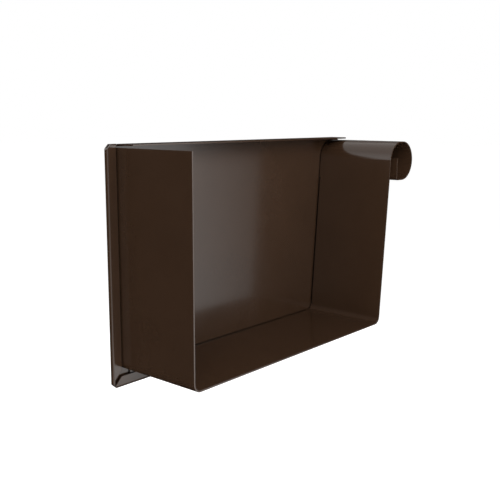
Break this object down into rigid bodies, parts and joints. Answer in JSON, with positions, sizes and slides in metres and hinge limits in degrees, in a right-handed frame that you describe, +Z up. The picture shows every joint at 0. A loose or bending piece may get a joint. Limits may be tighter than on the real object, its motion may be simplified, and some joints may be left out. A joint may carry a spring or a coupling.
{
  "type": "gutter end cap",
  "caption": "Folded sheet-metal end cap for a rectangular gutter: a collar with a rolled front bead, seamed to a flat plate that closes the gutter's end.",
  "frame": {"origin": "middle of the bottom's underside, on the inner face of the end plate where the gutter's end stops", "axes": "+X from the rear wall to the front bead, +Y from the open end to the end plate, +Z up as the gutter hangs"},
  "size_m": [0.1506, 0.039, 0.0897],
  "materials": {
    "painted_steel": "smooth satin-gloss dark brown coil coating"
  },
  "bodies": {
    "root": {"collar": "painted_steel", "end_plate": "painted_steel"}
  },
  "joints": []
}
